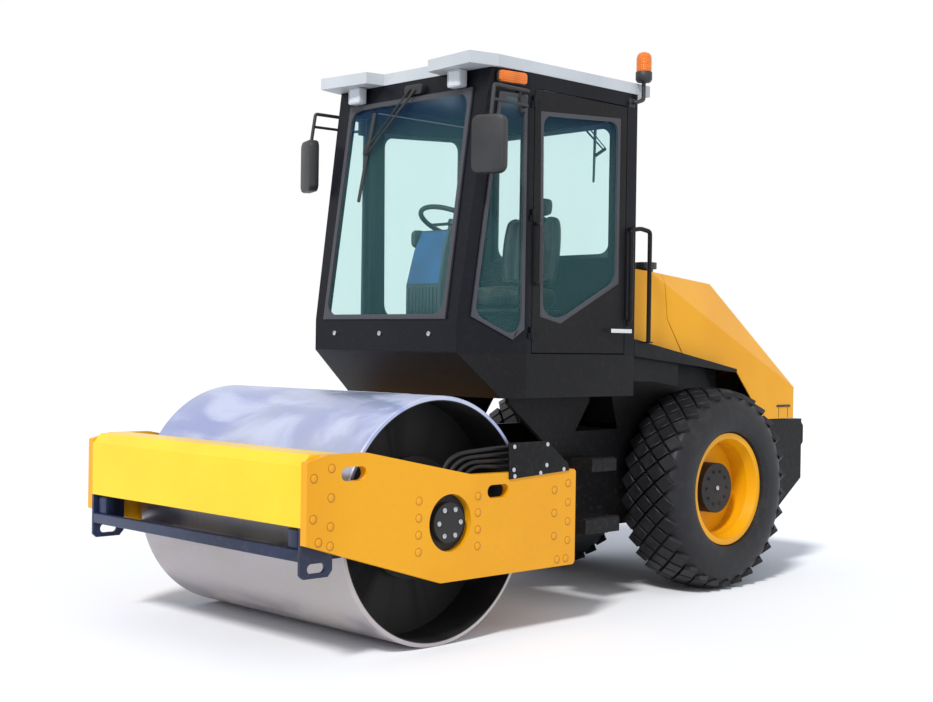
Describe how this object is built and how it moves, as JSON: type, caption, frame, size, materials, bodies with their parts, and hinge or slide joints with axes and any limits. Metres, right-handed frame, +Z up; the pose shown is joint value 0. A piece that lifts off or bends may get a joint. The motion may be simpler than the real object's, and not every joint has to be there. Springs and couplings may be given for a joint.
{
  "type": "road roller",
  "caption": "Articulated single-drum road roller: smooth steel drum in a plate frame, closed cab, sloping hood and two block-tread tyres.",
  "frame": {"origin": "on the ground at the middle of its length and width", "axes": "+X to the machine's left, +Y to its rear, +Z up"},
  "size_m": [1.856, 4.551, 3.124],
  "materials": {
    "frame_yellow": "gloss enamel, warm yellow",
    "cab_black": "satin black enamel",
    "roof_grey": "pale grey enamel",
    "drum_steel": "machined bare steel",
    "steel_dark": "dark cast and forged parts",
    "rod_chrome": "hard chrome",
    "tyre_black": "tyre rubber",
    "rubber_black": "moulded rubber",
    "glass_green": "tinted safety glass",
    "plastic_black": "grained black plastic",
    "lamp_clear": "lamp housings with clear lenses",
    "lens_amber": "amber lens",
    "seat_fabric": "black vinyl"
  },
  "bodies": {
    "rear_frame": {"beacon": "lens_amber", "cab_base": "cab_black", "cab_frame": "cab_black", "console": "plastic_black", "counterweight": "cab_black", "engine": "steel_dark", "fenders": "cab_black", "handrails": "cab_black", "hood_front": "frame_yellow", "intake_cap": "plastic_black", "king_pin": "steel_dark", "mirrors": "plastic_black", "quarter_windows": "glass_green", "radiator": "steel_dark", "rear_axle": "steel_dark", "rear_frame": "cab_black", "rear_window": "glass_green", "roof": "roof_grey", "seat": "seat_fabric", "steering_wheel": "plastic_black", "steps": "cab_black", "turn_signals": "lens_amber", "windscreen": "glass_green", "work_lights": "lamp_clear"},
    "pivot": {"pivot_block": "steel_dark"},
    "drum_frame": {"axle_carriers": "steel_dark", "front_beam": "frame_yellow", "hose_cover": "cab_black", "rear_beam": "frame_yellow", "scraper_front": "cab_black", "scraper_rear": "steel_dark", "side_plate_left": "frame_yellow", "side_plate_right": "frame_yellow"},
    "drum": {"drum": "drum_steel", "drum_hubs": "steel_dark", "drum_buffers": "rubber_black"},
    "wheel_left": {"tyre_left": "tyre_black", "rim_left": "frame_yellow", "wheel_hub_left": "steel_dark"},
    "wheel_right": {"tyre_right": "tyre_black", "rim_right": "frame_yellow", "wheel_hub_right": "steel_dark"},
    "door_left": {"door_left": "cab_black", "door_glass_left": "glass_green", "door_handle_left": "rod_chrome"},
    "door_right": {"door_right": "cab_black", "door_glass_right": "glass_green", "door_handle_right": "rod_chrome"},
    "hood": {"hood": "frame_yellow"},
    "steering_barrel_left": {"steering_barrel_left": "cab_black"},
    "steering_barrel_right": {"steering_barrel_right": "cab_black"},
    "steering_rod_left": {"steering_rod_left": "rod_chrome"},
    "steering_rod_right": {"steering_rod_right": "rod_chrome"}
  },
  "joints": [
    {"name": "articulation", "type": "hinge", "parent": "rear_frame", "child": "pivot", "pos_m": [0, -0.1995, 0.62], "axis": [0, 0, 1], "range_deg": [-35, 35]},
    {"name": "oscillation", "type": "hinge", "parent": "pivot", "child": "drum_frame", "pos_m": [0, -0.4145, 0.62], "axis": [0, 1, 0], "range_deg": [-12, 12]},
    {"name": "drum_spin", "type": "hinge", "parent": "drum_frame", "child": "drum", "pos_m": [0, -1.4145, 0.6], "axis": [1, 0, 0], "continuous": true},
    {"name": "wheel_left_spin", "type": "hinge", "parent": "rear_frame", "child": "wheel_left", "pos_m": [0.625, 1.0155, 0.604], "axis": [1, 0, 0], "continuous": true},
    {"name": "wheel_right_spin", "type": "hinge", "parent": "rear_frame", "child": "wheel_right", "pos_m": [-0.625, 1.0155, 0.604], "axis": [1, 0, 0], "continuous": true},
    {"name": "door_left_hinge", "type": "hinge", "parent": "rear_frame", "child": "door_left", "pos_m": [0.66, -0.5885, 2.1], "axis": [0, 0, -1], "range_deg": [0, 75]},
    {"name": "door_right_hinge", "type": "hinge", "parent": "rear_frame", "child": "door_right", "pos_m": [-0.66, -0.5885, 2.1], "axis": [0, 0, 1], "range_deg": [0, 75]},
    {"name": "hood_hinge", "type": "hinge", "parent": "rear_frame", "child": "hood", "pos_m": [0, 0.6935, 1.8955], "axis": [1, 0, 0], "range_deg": [0, 45]},
    {"name": "steering_barrel_left_hinge", "type": "hinge", "parent": "rear_frame", "child": "steering_barrel_left", "pos_m": [0.235, 0.4055, 0.655], "axis": [0, 0, 1], "range_deg": [-3, 3]},
    {"name": "steering_barrel_right_hinge", "type": "hinge", "parent": "rear_frame", "child": "steering_barrel_right", "pos_m": [-0.235, 0.4055, 0.655], "axis": [0, 0, 1], "range_deg": [-3, 3]},
    {"name": "steering_rod_left_slide", "type": "slide", "parent": "steering_barrel_left", "child": "steering_rod_left", "axis": [0, -1, 0], "range_m": [-0.135, 0.135]},
    {"name": "steering_rod_right_slide", "type": "slide", "parent": "steering_barrel_right", "child": "steering_rod_right", "axis": [0, -1, 0], "range_m": [-0.135, 0.135]}
  ],
  "couplings": [
    {"joint": "steering_barrel_left_hinge", "follows": "articulation", "ratio": -0.06},
    {"joint": "steering_barrel_right_hinge", "follows": "articulation", "ratio": -0.06},
    {"joint": "steering_rod_left_slide", "follows": "articulation", "m_per_rad": -0.2187},
    {"joint": "steering_rod_right_slide", "follows": "articulation", "m_per_rad": 0.2187}
  ]
}
